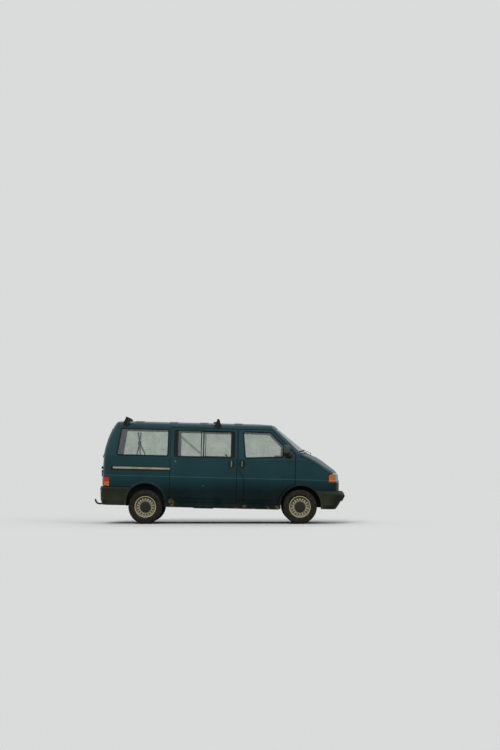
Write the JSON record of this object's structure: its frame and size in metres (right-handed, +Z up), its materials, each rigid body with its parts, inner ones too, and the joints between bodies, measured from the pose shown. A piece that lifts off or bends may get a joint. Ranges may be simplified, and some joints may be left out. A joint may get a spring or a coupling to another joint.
{
  "type": "window van",
  "caption": "Raised-nose passenger van with sliding side door, tailgate, roof carrier bars and tow ball; wheels roll and steer, front doors, bonnet and tailgate open",
  "frame": {"origin": "middle of the bounding box's foot, on the ground plane that the tyres stand on", "axes": "+X towards the nose, +Y to the vehicle's left, +Z up"},
  "size_m": [4.8292, 2.18, 2.0288],
  "materials": {
    "body_paint": "gloss",
    "inner_paint": "satin",
    "rim_paint": "satin",
    "rail_paint": "satin",
    "dark_steel": "matte",
    "cast_metal": "matte",
    "grey_plastic": "matte",
    "cab_plastic": "matte",
    "seat_cloth": "woven",
    "glass": "clear",
    "clear_lens": "ribbed",
    "amber_lens": "ribbed",
    "red_lens": "ribbed",
    "tyre": "matte",
    "black_plastic": "matte"
  },
  "bodies": {
    "body": {"body_side_left": "body_paint", "body_side_right": "body_paint", "cowl": "body_paint", "dashboard": "cab_plastic", "engine_block": "cast_metal", "exhaust_and_tank": "dark_steel", "firewall": "inner_paint", "floor_pan": "inner_paint", "front_axle": "dark_steel", "front_bumper": "grey_plastic", "front_fenders": "body_paint", "front_seats": "seat_cloth", "front_wheel_houses": "black_plastic", "grille": "black_plastic", "headlamps": "clear_lens", "inner_frame": "inner_paint", "lamp_carrier": "dark_steel", "nose_panel": "body_paint", "rear_axle": "dark_steel", "rear_bench": "seat_cloth", "rear_bumper": "grey_plastic", "rear_wheel_houses": "black_plastic", "roof_carrier": "dark_steel", "roof_panel": "body_paint", "side_glass": "glass", "slide_rail": "rail_paint", "sliding_door": "body_paint", "sliding_door_glass": "glass", "sliding_door_handle": "black_plastic", "tail_lamps": "red_lens", "tow_bar": "dark_steel", "turn_signals": "amber_lens", "windscreen": "glass"},
    "door_right": {"front_door_right": "body_paint", "front_door_glass_right": "glass", "front_door_handle_right": "black_plastic", "mirror_right": "black_plastic"},
    "knuckle_right": {"knuckle_right": "dark_steel"},
    "wheel_front_right": {"tyre_front_right": "tyre", "rim_front_right": "rim_paint"},
    "wheel_rear_right": {"tyre_rear_right": "tyre", "rim_rear_right": "rim_paint"},
    "door_left": {"front_door_left": "body_paint", "front_door_glass_left": "glass", "front_door_handle_left": "black_plastic", "mirror_left": "black_plastic"},
    "knuckle_left": {"knuckle_left": "dark_steel"},
    "wheel_front_left": {"tyre_front_left": "tyre", "rim_front_left": "rim_paint"},
    "wheel_rear_left": {"tyre_rear_left": "tyre", "rim_rear_left": "rim_paint"},
    "tailgate": {"tailgate": "body_paint", "tailgate_glass": "glass"},
    "bonnet": {"bonnet": "body_paint"},
    "steering_wheel": {"steering_wheel": "cab_plastic"}
  },
  "joints": [
    {"name": "steer_right", "type": "hinge", "parent": "body", "child": "knuckle_right", "pos_m": [1.53508, -0.7645, 0.324], "axis": [0, 0, 1], "range_deg": [-32, 32]},
    {"name": "wheel_front_right_spin", "type": "hinge", "parent": "knuckle_right", "child": "wheel_front_right", "pos_m": [1.53508, -0.7945, 0.324], "axis": [0, 1, 0], "continuous": true},
    {"name": "wheel_rear_right_spin", "type": "hinge", "parent": "body", "child": "wheel_rear_right", "pos_m": [-1.38492, -0.777, 0.324], "axis": [0, 1, 0], "continuous": true},
    {"name": "door_right_hinge", "type": "hinge", "parent": "body", "child": "door_right", "pos_m": [1.42712, -0.931, 0.86699], "axis": [0.0244, 0, 0.9997], "range_deg": [0, 68]},
    {"name": "steer_left", "type": "hinge", "parent": "body", "child": "knuckle_left", "pos_m": [1.53508, 0.7645, 0.324], "axis": [0, 0, 1], "range_deg": [-32, 32]},
    {"name": "wheel_front_left_spin", "type": "hinge", "parent": "knuckle_left", "child": "wheel_front_left", "pos_m": [1.53508, 0.7945, 0.324], "axis": [0, 1, 0], "continuous": true},
    {"name": "wheel_rear_left_spin", "type": "hinge", "parent": "body", "child": "wheel_rear_left", "pos_m": [-1.38492, 0.777, 0.324], "axis": [0, 1, 0], "continuous": true},
    {"name": "door_left_hinge", "type": "hinge", "parent": "body", "child": "door_left", "pos_m": [1.42712, 0.931, 0.86699], "axis": [-0.0244, 0, -0.9997], "range_deg": [0, 68]},
    {"name": "tailgate_hinge", "type": "hinge", "parent": "body", "child": "tailgate", "pos_m": [-2.02073, 0, 1.89753], "axis": [0, 1, 0], "range_deg": [0, 85]},
    {"name": "bonnet_hinge", "type": "hinge", "parent": "body", "child": "bonnet", "pos_m": [1.50809, 0, 1.31514], "axis": [0, -1, 0], "range_deg": [0, 50]},
    {"name": "steering_wheel_turn", "type": "hinge", "parent": "body", "child": "steering_wheel", "pos_m": [0.90765, 0.4, 1.09975], "axis": [-0.8049, 0, 0.5934], "range_deg": [-480, 480]}
  ],
  "couplings": [
    {"joint": "steer_right", "follows": "steer_left", "ratio": 1},
    {"joint": "steering_wheel_turn", "follows": "steer_left", "ratio": 15}
  ]
}
